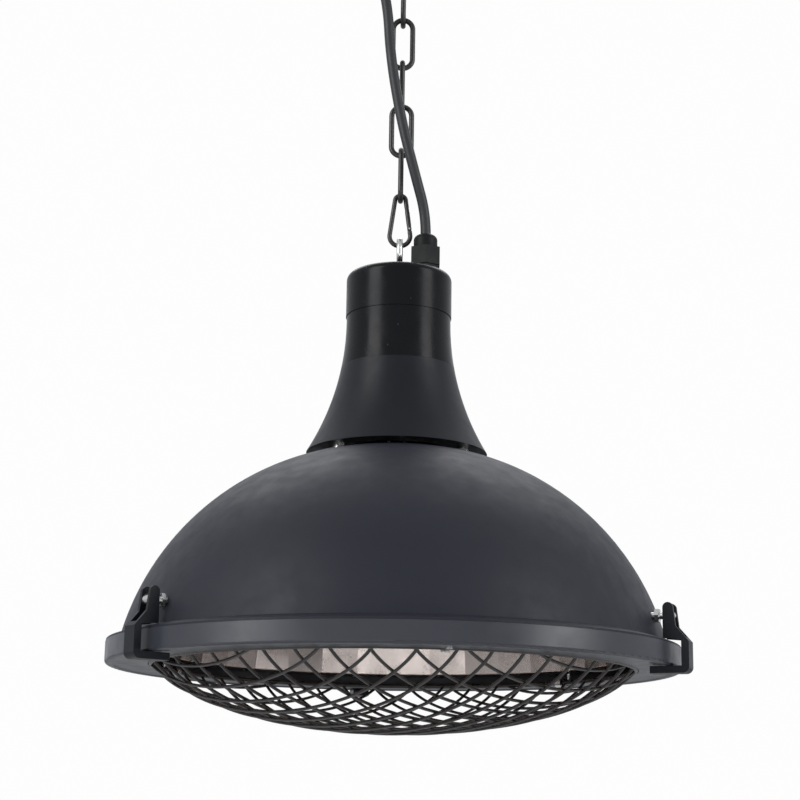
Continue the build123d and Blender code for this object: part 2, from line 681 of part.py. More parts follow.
def make_gland_body():
    """Thread through the cap, hexagon on top of it and a threaded neck for the sealing nut."""
    with BuildPart() as body:
        low = cap_top_z - CAP_TOP - GLAND_LOCK_NUT - 2.0
        with BuildSketch(Plane.XY.offset(low)):
            with Locations((GLAND_X, GLAND_Y)):
                Circle(GLAND_THREAD)
        extrude(amount=cap_top_z + SEAT_GAP - low)
        with BuildSketch(Plane.XY.offset(cap_top_z + SEAT_GAP)):
            with Locations((GLAND_X, GLAND_Y)):
                RegularPolygon(hex_flats(GLAND_FLATS - 2), 6, rotation=30)
        extrude(amount=GLAND_BASE)
        with BuildSketch(Plane.XY.offset(cap_top_z + SEAT_GAP + GLAND_BASE)):
            with Locations((GLAND_X, GLAND_Y)):
                Circle(GLAND_SEAL_RADIUS + 1.5)
        extrude(amount=GLAND_NUT / 2)
        with BuildSketch(Plane.XY.offset(low)):
            with Locations((GLAND_X, GLAND_Y)):
                Circle(GLAND_SEAL_RADIUS)
        extrude(amount=cap_top_z + GLAND_BASE + GLAND_NUT - low, mode=Mode.SUBTRACT)
    save(body.part, "gland_body")


def make_gland_dome_nut():
    """Sealing nut: a hexagon with a domed end, hollow over the neck and the seal."""
    low = cap_top_z + GLAND_BASE + 2 * SEAT_GAP
    nut_top = cap_top_z + GLAND_BASE + GLAND_NUT
    with BuildPart() as nut:
        with BuildSketch(Plane.XY.offset(low)):
            with Locations((GLAND_X, GLAND_Y)):
                RegularPolygon(hex_flats(GLAND_FLATS), 6, rotation=30)
        extrude(amount=nut_top - low)
        with BuildSketch(Plane.XY.offset(nut_top)):
            with Locations((GLAND_X, GLAND_Y)):
                Circle(GLAND_DOME_RADIUS)
        extrude(amount=gland_top_z - nut_top)
        fillet(nut.edges().filter_by(GeomType.CIRCLE).group_by(Axis.Z)[-1], radius=4.5)
        with BuildSketch(Plane.XY.offset(low)):
            with Locations((GLAND_X, GLAND_Y)):
                Circle(GLAND_SEAL_RADIUS + 1.5 + SEAT_GAP)
        extrude(amount=gland_top_z - 4.0 - low, mode=Mode.SUBTRACT)
        with BuildSketch(Plane.XY.offset(low)):
            with Locations((GLAND_X, GLAND_Y)):
                Circle(CABLE_DIAMETER / 2 + SEAT_GAP)
        extrude(amount=gland_top_z - low, mode=Mode.SUBTRACT)
    save(nut.part, "gland_dome_nut")


def make_gland_seal():
    low = cap_top_z + GLAND_BASE
    with BuildPart() as seal:
        with BuildSketch(Plane.XY.offset(low)):
            with Locations((GLAND_X, GLAND_Y)):
                Circle(GLAND_SEAL_RADIUS - SEAT_GAP)
                Circle(CABLE_DIAMETER / 2 + SEAT_GAP, mode=Mode.SUBTRACT)
        extrude(amount=gland_top_z - 4.0 - SEAT_GAP - low)
    save(seal.part, "gland_seal")


def make_gland_lock_nut():
    with BuildPart() as nut:
        with BuildSketch(Plane.XY.offset(cap_top_z - CAP_TOP - SEAT_GAP - GLAND_LOCK_NUT)):
            with Locations((GLAND_X, GLAND_Y)):
                RegularPolygon(hex_flats(GLAND_FLATS - 2), 6, rotation=30)
                Circle(GLAND_THREAD + RUN_GAP, mode=Mode.SUBTRACT)
        extrude(amount=GLAND_LOCK_NUT)
    save(nut.part, "gland_lock_nut")


CABLE_ROUTE = (
    (GLAND_X, GLAND_Y, gland_top_z),
    (GLAND_X, GLAND_Y, gland_top_z + 17.0),
    (GLAND_X - 8.5, GLAND_Y - 10.5, gland_top_z + 45.0),
    (GLAND_X - 20.0, GLAND_Y - 14.0, gland_top_z + 88.0),
    (GLAND_X - 29.5, GLAND_Y - 13.0, gland_top_z + 143.0),
    (GLAND_X - 32.5, GLAND_Y - 11.0, gland_top_z + 190.0),
    (BUSH_X, BUSH_Y, bush_bottom_z - 20.0),
    (BUSH_X, BUSH_Y, bush_bottom_z),
)


def corner_radii(points):
    """As large as the two runs of each corner allow."""
    radii = []
    for before, here, after in zip(points, points[1:], points[2:]):
        run_in = Vector(*here) - Vector(*before)
        run_out = Vector(*after) - Vector(*here)
        half_turn = radians(run_in.get_angle(run_out)) / 2
        radii.append(0.45 * min(run_in.length, run_out.length) / tan(half_turn))
    return radii


def make_power_cable():
    radii = corner_radii(CABLE_ROUTE)
    print("cable corner radii", [round(r, 1) for r in radii])
    with BuildPart() as cable:
        with BuildLine() as path:
            FilletPolyline(*CABLE_ROUTE, radius=radii)
        with BuildSketch(Plane(origin=path.line @ 0, z_dir=path.line % 0)):
            Circle(CABLE_DIAMETER / 2)
        sweep()
    section = pi * CABLE_DIAMETER**2 / 4
    length = sum(edge.length for edge in path.edges())
    print("cable length", round(length, 1), "volume over section", round(cable.part.volume / section, 1))
    save(cable.part, "power_cable")


BLOCK_SIZE = (32.0, 12.0, 14.0)
BLOCK_Y = 18.0
EARTH_SCREW_PLACE = (-20.0, -14.0)
GROMMET_PLACE = (0.0, -25.0)
GROMMET_RADIUS = 5.0


def make_terminal_block():
    """Ceramic block on the collar's web, inside the cap."""
    length, width, height = BLOCK_SIZE
    base = cap_bottom_z
    with BuildPart() as block:
        with BuildSketch(Plane.XY.offset(base)):
            with Locations((0, BLOCK_Y)):
                RectangleRounded(length, width, 1.5)
        extrude(amount=height)
        with BuildSketch(Plane.XY.offset(base + height)):
            with Locations((0, BLOCK_Y)):
                with GridLocations(length / 3, 0, 3, 1):
                    Circle(2.0)
        extrude(amount=-height / 2, mode=Mode.SUBTRACT)
    save(block.part, "terminal_block")


def make_earth_screw():
    x, y = EARTH_SCREW_PLACE
    with BuildPart() as screw:
        with BuildSketch(Plane.XY.offset(cap_bottom_z)):
            with Locations((x, y)):
                Circle(4.0)
        extrude(amount=3.0)
        with BuildSketch(Plane.XY.offset(cap_bottom_z)):
            with Locations((x, y)):
                Circle(SCREW_RADIUS)
        extrude(amount=-NECK_FLANGE - 4.0)
    save(screw.part, "earth_screw")


def lamp_end(side):
    """Foot of a lamp end in plan, and the angle at which the ring ends; side is -1 or 1."""
    angle = radians(90 + side * LAMP_MOUTH / 2)
    tangent = Vector(side * sin(angle), -side * cos(angle), 0)
    start = Vector(LAMP_RING_RADIUS * cos(angle), LAMP_RING_RADIUS * sin(angle), 0)
    return start, tangent


def lamp_end_place(side):
    start, tangent = lamp_end(side)
    return start + tangent * LAMP_BEND


def make_inner_leads():
    """Cable end in the cap, its cores to the block, and the two lamp leads down the neck."""
    sheath_low = cap_top_z - CAP_TOP - GLAND_LOCK_NUT - 6.0
    with BuildPart() as sheath:
        with BuildSketch(Plane.XY.offset(sheath_low)):
            with Locations((GLAND_X, GLAND_Y)):
                Circle(CABLE_DIAMETER / 2)
        extrude(amount=gland_top_z - sheath_low)
    solids = [sheath.part]
    block_front = BLOCK_Y - BLOCK_SIZE[1] / 2 - SEAT_GAP
    for i, (dx, dy) in enumerate(SHEATH_CORES):
        x = (i - 1) * BLOCK_SIZE[0] / 3
        z = cap_bottom_z + BLOCK_SIZE[2] / 2
        start = (GLAND_X + dx, GLAND_Y + dy, sheath_low - SEAT_GAP)
        solids.append(lead([start, (start[0], start[1], z + 2 + i), (x, block_front - 4, z), (x, block_front, z)], 1.2))
    for side in (-1, 1):
        foot = lamp_end_place(side)
        cap_top = ring_z + LAMP_END_HEIGHT - LAMP_SOCKET + LAMP_CAP_LENGTH
        x = side * 2.0
        y = GROMMET_PLACE[1]
        top = cap_bottom_z + 5.0
        under = crown_z - DOME_WALL - 8.0
        solids.append(lead(
            [(x * 4, block_front, cap_bottom_z + 3.0), (x * 4, block_front - 5, cap_bottom_z + 3.0),
             (x * 3, y + 8, top), (x, y, top - 1),
             (x, y, collar_bottom_z - 6), (x * 3, -12.0, flare_bottom_z + 12), (x * 3, -12.0, under),
             (foot.X, foot.Y - 14, cap_top + 6.0), (foot.X, foot.Y, cap_top + 5.5), (foot.X, foot.Y, cap_top + SEAT_GAP)],
            2.0))
    group = Compound(children=solids)
    save(group, "inner_leads")


def make_dome_shade():
    """Spun dome: flat crown, one long arc, and a lip turned out over the ring."""
    crown_radius = DOME_ARC_OFFSET + sqrt(DOME_ARC**2 - (crown_z - dome_arc_z) ** 2)
    under_z = crown_z - DOME_WALL
    inner_arc = DOME_ARC - DOME_WALL
    under_radius = DOME_ARC_OFFSET + sqrt(inner_arc**2 - (under_z - dome_arc_z) ** 2)
    lip_low = ring_top_z + 2 * SEAT_GAP
    lip_outer = RING_RADIUS - 0.4
    lip_inner = RING_RADIUS - RING_WALL * 2
    mid_z = (dome_foot_z + crown_z) / 2
    inner_foot_z = dome_foot_z - DOME_WALL / 2
    with BuildPart() as dome:
        with BuildSketch(Plane.XZ):
            with BuildLine():
                outer = ThreePointArc(
                    (DOME_FOOT_RADIUS, dome_foot_z), (dome_radius(mid_z), mid_z), (crown_radius, crown_z))
                top = Polyline(
                    outer @ 1, (DOME_HOLE, crown_z), (DOME_HOLE, under_z), (under_radius, under_z))
                inner = ThreePointArc(
                    top @ 1, (dome_radius(mid_z, DOME_WALL), mid_z),
                    (dome_radius(inner_foot_z, DOME_WALL), inner_foot_z))
                Polyline(
                    inner @ 1, (lip_inner, lip_low), (lip_outer, lip_low),
                    (lip_outer, lip_low + DOME_LIP_EDGE), outer @ 0)
            make_face()
        revolve(axis=Axis.Z)
        with BuildSketch(Plane.XY.offset(under_z)):
            with PolarLocations(VENT_SCREW_CIRCLE, 3, start_angle=CLAMP_START_ANGLE):
                Circle(SCREW_HOLE)
            with PolarLocations(STAY_CIRCLE, 3, start_angle=CLAMP_START_ANGLE + 60):
                Circle(SCREW_HOLE)
        extrude(amount=DOME_WALL, mode=Mode.SUBTRACT)
        for angle in clamp_angles():
            with BuildSketch(lug_plane(angle, dome_radius(clamp_pivot_z) - 8)):
                Circle(LUG_STUD_RADIUS + SEAT_GAP)
            extrude(amount=16, mode=Mode.SUBTRACT)
    save(dome.part, "dome_shade")


def make_rim_ring():
    """Band with a flange turned in under it and a shallow bead along its lower edge."""
    floor = ring_z + RING_BEAD_DEPTH
    with BuildPart() as ring:
        with BuildSketch(Plane.XZ):
            with BuildLine():
                Polyline(
                    (RING_RADIUS, ring_z),
                    (RING_RADIUS, ring_top_z),
                    (RING_RADIUS - RING_WALL, ring_top_z),
                    (RING_RADIUS - RING_WALL, floor + RING_FLANGE),
                    (RING_BORE, floor + RING_FLANGE),
                    (RING_BORE, floor),
                    (RING_RADIUS - RING_BEAD - RING_BEAD_DEPTH, floor),
                    (RING_RADIUS - RING_BEAD, ring_z),
                    close=True,
                )
            make_face()
        revolve(axis=Axis.Z)
        outer_edge = ring.edges().filter_by(GeomType.CIRCLE).group_by(Axis.Z)[0].sort_by(SortBy.RADIUS)[-1]
        fillet(outer_edge, radius=RING_EDGE)
        with BuildSketch(Plane.XY.offset(floor)):
            with PolarLocations(clip_screw_radius, 3, start_angle=CLIP_START_ANGLE):
                Circle(1.5 + SEAT_GAP)
        extrude(amount=RING_FLANGE, mode=Mode.SUBTRACT)
    save(ring.part, "rim_ring")


def make_reflector():
    """Polished bowl of flat facets with a flange at its mouth."""
    with BuildPart() as bowl:
        for height, radius in REFLECTOR_PROFILE:
            with BuildSketch(Plane.XY.offset(ring_z + height)):
                RegularPolygon(radius + REFLECTOR_WALL, REFLECTOR_SIDES)
        loft(ruled=True)
        with BuildSketch(Plane.XY.offset(ring_z + REFLECTOR_PROFILE[0][0])):
            Circle(REFLECTOR_FLANGE_RADIUS)
        extrude(amount=REFLECTOR_WALL)
    with BuildPart() as hollow:
        for height, radius in REFLECTOR_PROFILE:
            with BuildSketch(Plane.XY.offset(ring_z + height - REFLECTOR_WALL)):
                RegularPolygon(radius, REFLECTOR_SIDES)
        loft(ruled=True)
        with BuildSketch(Plane.XY.offset(ring_z + REFLECTOR_PROFILE[0][0] + REFLECTOR_WALL / 2)):
            RegularPolygon(REFLECTOR_PROFILE[0][1], REFLECTOR_SIDES)
        extrude(amount=-2 * REFLECTOR_WALL)
    with BuildPart() as reflector:
        add(bowl.part)
        add(hollow.part, mode=Mode.SUBTRACT)
        top = ring_z + REFLECTOR_PROFILE[-1][0]
        with BuildSketch(Plane.XY.offset(top + 1)):
            with PolarLocations(STAY_CIRCLE, 3, start_angle=CLAMP_START_ANGLE + 60):
                Circle(SCREW_HOLE)
        extrude(amount=-4, mode=Mode.SUBTRACT)
        with BuildSketch(Plane.XY.offset(top)):
            for side in (-1, 1):
                with Locations(lamp_end_place(side)):
                    Circle(LAMP_CAP_RADIUS + 0.3)
            with PolarLocations(LAMP_RING_RADIUS, 3, start_angle=SUPPORT_START_ANGLE):
                Circle(SUPPORT_WIRE + 0.3)
        extrude(amount=-40, mode=Mode.SUBTRACT)
    save(reflector.part, "reflector")


SUPPORT_START_ANGLE = -90.0
reflector_top_z = ring_z + REFLECTOR_PROFILE[-1][0]


def make_reflector_stays():
    """Hexagon stand-offs between the reflector's top and the dome's crown."""
    with BuildPart() as stays:
        with BuildSketch(Plane.XY.offset(reflector_top_z + SEAT_GAP)):
            with PolarLocations(STAY_CIRCLE, 3, start_angle=CLAMP_START_ANGLE + 60):
                RegularPolygon(hex_flats(STAY_FLATS), 6)
                Circle(SCREW_RADIUS + RUN_GAP, mode=Mode.SUBTRACT)
        extrude(amount=crown_z - DOME_WALL - SEAT_GAP - reflector_top_z - SEAT_GAP)
    save(stays.part, "reflector_stays")


def stay_screws(name, head_z, end_z):
    sign = 1 if head_z > end_z else -1
    with BuildPart() as screws:
        for radius, amount in ((3.6, sign * 2.4), (SCREW_RADIUS, end_z - head_z)):
            with BuildSketch(Plane.XY.offset(head_z)):
                with PolarLocations(STAY_CIRCLE, 3, start_angle=CLAMP_START_ANGLE + 60):
                    Circle(radius)
            extrude(amount=amount)
    save(screws.part, name)


def make_stay_screws():
    under = reflector_top_z - REFLECTOR_WALL - SEAT_GAP
    stay_screws("reflector_screws", under, under + 10)
    stay_screws("stay_screws", crown_z + SEAT_GAP, crown_z - 10)


def make_lamp_tube():
    """Ring of glass tube, open at the back, whose ends turn up through the reflector."""
    z = ring_z + LAMP_HEIGHT
    start, start_tangent = lamp_end(-1)
    end, end_tangent = lamp_end(1)
    rise = ring_z + LAMP_END_HEIGHT

    def bend(foot, tangent):
        across = foot + tangent * (LAMP_BEND * sin(radians(45)))
        lift = LAMP_BEND * (1 - cos(radians(45)))
        outside = foot + tangent * LAMP_BEND
        return (
            Vector(foot.X, foot.Y, z), Vector(across.X, across.Y, z + lift),
            Vector(outside.X, outside.Y, z + LAMP_BEND), Vector(outside.X, outside.Y, rise))

    first = bend(start, start_tangent)
    last = bend(end, end_tangent)
    with BuildPart() as tube:
        with BuildLine() as path:
            Line(first[3], first[2])
            ThreePointArc(first[2], first[1], first[0])
            ThreePointArc(first[0], Vector(0, -LAMP_RING_RADIUS, z), last[0])
            ThreePointArc(last[0], last[1], last[2])
            Line(last[2], last[3])
        with BuildSketch(Plane(origin=path.line @ 0, z_dir=path.line % 0)):
            Circle(LAMP_TUBE_RADIUS)
        sweep()
    save(tube.part, "lamp_tube")


def make_lamp_end_caps():
    """Ceramic cups on the lamp's two ends, standing in holes of the reflector."""
    low = ring_z + LAMP_END_HEIGHT - LAMP_SOCKET
    with BuildPart() as caps:
        for side in (-1, 1):
            with BuildSketch(Plane.XY.offset(low)):
                with Locations(lamp_end_place(side)):
                    Circle(LAMP_CAP_RADIUS)
            extrude(amount=LAMP_CAP_LENGTH)
            with BuildSketch(Plane.XY.offset(low)):
                with Locations(lamp_end_place(side)):
                    Circle(LAMP_TUBE_RADIUS + SEAT_GAP)
            extrude(amount=LAMP_SOCKET + SEAT_GAP, mode=Mode.SUBTRACT)
    save(caps.part, "lamp_end_caps")


def make_lamp_supports():
    """Wire hangers with a loop round the tube and a head above the reflector."""
    loop = LAMP_TUBE_RADIUS + SEAT_GAP + SUPPORT_WIRE
    z = ring_z + LAMP_HEIGHT
    with BuildPart() as supports:
        for i in range(3):
            plane = radial_plane(SUPPORT_START_ANGLE + 120 * i)
            centre = plane.x_dir * LAMP_RING_RADIUS + UP * z
            with BuildSketch(Plane(origin=centre, x_dir=plane.x_dir, z_dir=UP)):
                with Locations((loop, 0)):
                    Circle(SUPPORT_WIRE)
            revolve(axis=Axis(centre, plane.z_dir))
            with BuildSketch(Plane(origin=centre + UP * loop, z_dir=UP)):
                Circle(SUPPORT_WIRE)
            extrude(amount=SUPPORT_TOP - LAMP_HEIGHT - loop)
            with BuildSketch(Plane(origin=centre + UP * (SUPPORT_TOP - LAMP_HEIGHT - 1.5), z_dir=UP)):
                Circle(SUPPORT_WIRE * 2.5)
            extrude(amount=1.5)
    save(supports.part, "lamp_supports")


grille_span = GRILLE_EDGE_RADIUS / GRILLE_FULLNESS
grille_rise = GRILLE_DEPTH / (1 - sqrt(1 - GRILLE_FULLNESS**2))
grille_centre_z = ring_z + GRILLE_EDGE_HEIGHT - GRILLE_DEPTH + grille_rise
grille_slope = grille_rise / grille_span * GRILLE_FULLNESS / sqrt(1 - GRILLE_FULLNESS**2)


def grille_wire(offset, angle, lift):
    """One wire of the guard: a flat oval arch in an upright plane beside the axis, made of short arcs."""
    normal = Vector(cos(radians(angle)), sin(radians(angle)), 0)
    along = UP.cross(normal)
    span, rise = grille_span + lift, grille_rise + lift
    share = sqrt(1 - (offset / span) ** 2)
    off_edge = GRILLE_EDGE_WIRE + GRILLE_WIRE * abs(offset) / GRILLE_EDGE_RADIUS + GRILLE_END_GAP
    end_radius = GRILLE_EDGE_RADIUS + (lift * grille_slope - off_edge) / sqrt(1 + grille_slope**2)
    half = asin(sqrt(end_radius**2 - offset**2) / (span * share))

    def place(step):
        turn = half * step / GRILLE_ARCS
        return (
            normal * offset
            + along * (span * share * sin(turn))
            + UP * (grille_centre_z - rise * share * cos(turn))
        )

    with BuildPart() as wire:
        with BuildLine() as path:
            for step in range(-GRILLE_ARCS, GRILLE_ARCS, 2):
                ThreePointArc(place(step), place(step + 1), place(step + 2))
        with BuildSketch(Plane(origin=path.line @ 0, x_dir=normal, z_dir=path.line % 0)):
            RegularPolygon(GRILLE_WIRE, GRILLE_SIDES)
        sweep()
    return wire.part


def make_grille_edge():
    """Edge wire of the guard, a full ring."""
    with BuildPart() as edge:
        with BuildSketch(Plane.XZ):
            with Locations((GRILLE_EDGE_RADIUS, ring_z + GRILLE_EDGE_HEIGHT)):
                RegularPolygon(GRILLE_EDGE_WIRE, GRILLE_EDGE_SIDES)
        revolve(axis=Axis.Z)
    save(edge.part, "grille_edge")


def make_grille():
    """Domed guard: two families of wires, one lying under the other."""
    count = round((GRILLE_EDGE_RADIUS - GRILLE_EDGE_WIRE) / GRILLE_PITCH)
    offsets = [(i + 0.5) * GRILLE_PITCH for i in range(-count, count)]
    apart = GRILLE_WIRE + GRILLE_CROSS_GAP
    wires = []
    for angle, lift in ((90 - GRILLE_ANGLE, apart), (90 + GRILLE_ANGLE, -apart)):
        wires += [grille_wire(offset, angle, lift) for offset in offsets]
    save(Compound(children=wires), "grille")


clip_screw_radius = RING_BORE + 8.0


def make_grille_clips():
    """Folded clips: a tongue on the ring's flange and a curl under the edge wire."""
    flange_top = ring_z + RING_BEAD_DEPTH + RING_FLANGE + SEAT_GAP
    wire_z = ring_z + GRILLE_EDGE_HEIGHT
    curl = GRILLE_EDGE_WIRE + SEAT_GAP
    with BuildPart() as clips:
        for i in range(3):
            plane = radial_plane(CLIP_START_ANGLE + 120 * i)
            with BuildSketch(plane):
                with BuildLine():
                    Polyline(
                        (GRILLE_EDGE_RADIUS, wire_z + curl), (RING_BORE + CLIP_REACH, wire_z + curl),
                        (RING_BORE + CLIP_REACH, wire_z + curl + CLIP_THICKNESS),
                        (GRILLE_EDGE_RADIUS, wire_z + curl + CLIP_THICKNESS))
                    ThreePointArc(
                        (GRILLE_EDGE_RADIUS, wire_z + curl + CLIP_THICKNESS),
                        (GRILLE_EDGE_RADIUS - curl - CLIP_THICKNESS, wire_z),
                        (GRILLE_EDGE_RADIUS, wire_z - curl - CLIP_THICKNESS))
                    Line((GRILLE_EDGE_RADIUS, wire_z - curl - CLIP_THICKNESS), (GRILLE_EDGE_RADIUS, wire_z - curl))
                    ThreePointArc(
                        (GRILLE_EDGE_RADIUS, wire_z - curl), (GRILLE_EDGE_RADIUS - curl, wire_z),
                        (GRILLE_EDGE_RADIUS, wire_z + curl))
                make_face()
            extrude(amount=CLIP_WIDTH / 2, both=True)
            if wire_z + curl > flange_top:
                with BuildSketch(plane):
                    with Locations((clip_screw_radius, (wire_z + curl + flange_top) / 2)):
                        Rectangle(CLIP_WIDTH * 0.7, wire_z + curl - flange_top)
                extrude(amount=CLIP_WIDTH / 3, both=True)
        with BuildSketch(Plane.XY.offset(ring_z)):
            with PolarLocations(clip_screw_radius, 3, start_angle=CLIP_START_ANGLE):
                Circle(1.5 + SEAT_GAP)
        extrude(amount=12, mode=Mode.SUBTRACT)
    save(clips.part, "grille_clips")


def make_clip_screws():
    head_z = ring_z + RING_BEAD_DEPTH - SEAT_GAP
    with BuildPart() as screws:
        for radius, amount in ((2.6, -1.2), (1.5, 9.0)):
            with BuildSketch(Plane.XY.offset(head_z)):
                with PolarLocations(clip_screw_radius, 3, start_angle=CLIP_START_ANGLE):
                    Circle(radius)
            extrude(amount=amount)
    save(screws.part, "clip_screws")


clamp_pivot_z = ring_z + CLAMP_PIVOT_HEIGHT
clamp_spine_inner = RING_RADIUS + CLAMP_SPINE_GAP
clamp_spine_outer = clamp_spine_inner + CLAMP_SPINE_DEPTH
clamp_ear_inner = RING_RADIUS - CLAMP_EAR_INSET
clamp_ear_outer = clamp_ear_inner + CLAMP_EAR_WIDTH
clamp_foot_tip = RING_RADIUS - CLAMP_FOOT_REACH
clamp_pivot_radius = clamp_ear_inner + CLAMP_EAR_WIDTH / 2


def lug_plane(angle, radius):
    """Plane square to the radius at this angle, at the height of the clamp's pivot."""
    outwards = radial_plane(angle).x_dir
    return Plane(origin=outwards * radius + UP * clamp_pivot_z, x_dir=UP.cross(outwards), z_dir=outwards)


def clamp_outline():
    """Side view of a clamp: an ear at the pivot, a shoulder, a spine beside the ring and a foot."""
    foot_top = ring_z - CLAMP_FOOT_GAP
    foot_low = foot_top - CLAMP_FOOT
    jaw_z = ring_top_z + DOME_LIP_EDGE + CLAMP_JAW_GAP
    round_z = ring_z + CLAMP_TOP - CLAMP_EAR_WIDTH / 2
    with BuildSketch() as outline:
        with BuildLine():
            side = Polyline(
                (clamp_ear_outer, round_z),
                (clamp_ear_outer + CLAMP_EAR_SPREAD, ring_z + CLAMP_SHOULDER_TOP),
                (clamp_spine_outer, ring_z + CLAMP_SHOULDER_LOW),
                (clamp_spine_outer, foot_low),
                (clamp_foot_tip, foot_low),
                (clamp_foot_tip, foot_top),
                (clamp_spine_inner, foot_top),
                (clamp_spine_inner, jaw_z),
                (clamp_ear_inner, jaw_z + CLAMP_JAW_SLOPE),
                (clamp_ear_inner, round_z),
            )
            ThreePointArc(side @ 1, (clamp_pivot_radius, ring_z + CLAMP_TOP), side @ 0)
        make_face()
        corners = outline.vertices()
        by_height = corners.sort_by(Axis.Y)
        heel, toe_low = by_height[:2].sort_by(Axis.X)[::-1]
        toe_top, throat = by_height[2:4].sort_by(Axis.X)
        shoulder_low, jaw, ear_low, shoulder_top = by_height[4:8]
        fillet(heel, radius=CLAMP_CORNER_ROUND)
        fillet([toe_low, toe_top, throat, ear_low], radius=CLAMP_FOOT_ROUND)
        fillet([shoulder_low, shoulder_top], radius=CLAMP_BEND_ROUND)
    return outline.sketch


def make_clamp(name, angle):
    """Hooked clamp pressed from one plate: two cheeks, an outer web and a foot under the ring."""
    plane = radial_plane(angle)
    web_in = clamp_spine_outer - CLAMP_PLATE
    foot_in = ring_z - CLAMP_FOOT_GAP - CLAMP_FOOT + CLAMP_PLATE
    web_top = ring_z + CLAMP_WEB_TOP
    past_top = ring_z + CLAMP_TOP + CLAMP_WIDTH
    with BuildPart() as clamp:
        with BuildSketch(plane):
            add(clamp_outline())
        extrude(amount=CLAMP_WIDTH / 2, both=True)
        with BuildSketch(plane):
            with BuildLine():
                Polyline(
                    (clamp_foot_tip - CLAMP_WIDTH, foot_in),
                    (web_in, foot_in),
                    (web_in, web_top),
                    (clamp_spine_outer + CLAMP_WIDTH, web_top),
                    (clamp_spine_outer + CLAMP_WIDTH, past_top),
                    (clamp_foot_tip - CLAMP_WIDTH, past_top),
                    close=True,
                )
            make_face()
        extrude(amount=CLAMP_WIDTH / 2 - CLAMP_PLATE, both=True, mode=Mode.SUBTRACT)
        with BuildSketch(plane):
            with Locations((clamp_pivot_radius, clamp_pivot_z)):
                Circle(CLAMP_PIN_RADIUS + RUN_GAP)
        extrude(amount=CLAMP_WIDTH, both=True, mode=Mode.SUBTRACT)
    save(clamp.part, name)


def make_clamp_lugs():
    """Studs through the dome's wall, each with an eye between its clamp's cheeks."""
    stud_start = dome_radius(clamp_pivot_z) - LUG_STUD_INSIDE
    eye_half = CLAMP_WIDTH / 2 - CLAMP_PLATE - LUG_SIDE_GAP
    with BuildPart() as lugs:
        for angle in clamp_angles():
            plane = radial_plane(angle)
            with BuildSketch(plane):
                with Locations((clamp_pivot_radius, clamp_pivot_z)):
                    Circle(LUG_RADIUS)
            extrude(amount=eye_half, both=True)
            with BuildSketch(lug_plane(angle, stud_start)):
                Circle(LUG_STUD_RADIUS)
            extrude(amount=clamp_pivot_radius - stud_start - CLAMP_PIN_RADIUS)
            with BuildSketch(plane):
                with Locations((clamp_pivot_radius, clamp_pivot_z)):
                    Circle(CLAMP_PIN_RADIUS + RUN_GAP)
            extrude(amount=CLAMP_WIDTH, both=True, mode=Mode.SUBTRACT)
    save(lugs.part, "clamp_lugs")


def make_lug_nuts():
    """A nut outside and one inside the dome's wall on each stud."""
    slope_gap = LUG_NUT_FLATS / 2 * LUG_NUT_SLOPE
    outer_start = dome_radius(clamp_pivot_z) + slope_gap
    inner_start = dome_radius(clamp_pivot_z) - DOME_WALL - slope_gap - LUG_NUT_HEIGHT
    with BuildPart() as nuts:
        for angle in clamp_angles():
            for start in (outer_start, inner_start):
                with BuildSketch(lug_plane(angle, start)):
                    RegularPolygon(hex_flats(LUG_NUT_FLATS), 6)
                    Circle(LUG_STUD_RADIUS + RUN_GAP, mode=Mode.SUBTRACT)
                extrude(amount=LUG_NUT_HEIGHT)
    save(nuts.part, "lug_nuts")


def make_clamp_pins():
    """Pivot pins riveted flush in the clamps' cheeks."""
    with BuildPart() as pins:
        for angle in clamp_angles():
            with BuildSketch(radial_plane(angle)):
                with Locations((clamp_pivot_radius, clamp_pivot_z)):
                    Circle(CLAMP_PIN_RADIUS)
            extrude(amount=CLAMP_WIDTH / 2 - CLAMP_PIN_RECESS, both=True)
    save(pins.part, "clamp_pins")


os.makedirs("parts", exist_ok=True)
make_ceiling_bracket()
make_ceiling_eye()
make_eye_lock_nut()
make_ceiling_rose()
make_rose_ring_nut()
make_rose_cable_bush()
make_rose_terminal_block()
make_rose_leads()
for link_number in range(1, LINK_COUNT + 1):
    make_link(link_number)
make_snap_hook()
make_snap_gate()
make_snap_gate_pin()
make_eye_bolt()
make_eye_washer()
make_eye_nuts()
make_top_cap()
make_collar()
make_neck_flare()
make_neck_fasteners()
make_vent_spacers()
make_gland_body()
make_gland_dome_nut()
make_gland_seal()
make_gland_lock_nut()
make_power_cable()
make_terminal_block()
make_earth_screw()
make_inner_leads()
make_dome_shade()
make_rim_ring()
make_reflector()
make_reflector_stays()
make_stay_screws()
make_lamp_tube()
make_lamp_end_caps()
make_lamp_supports()
make_grille_edge()
make_grille()
make_grille_clips()
make_clip_screws()
for clamp_name, clamp_angle in zip(("clamp_right", "clamp_rear", "clamp_left"), clamp_angles()):
    make_clamp(clamp_name, clamp_angle)
make_clamp_lugs()
make_lug_nuts()
make_clamp_pins()
print("ring bottom", round(ring_z, 2), "cap top", round(cap_top_z, 2), "snap bar", round(snap_bottom_z, 2))
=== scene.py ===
import json
from math import asin, cos, pi, radians, sin, sqrt

import bmesh
import bpy
from mathutils import Matrix, Vector

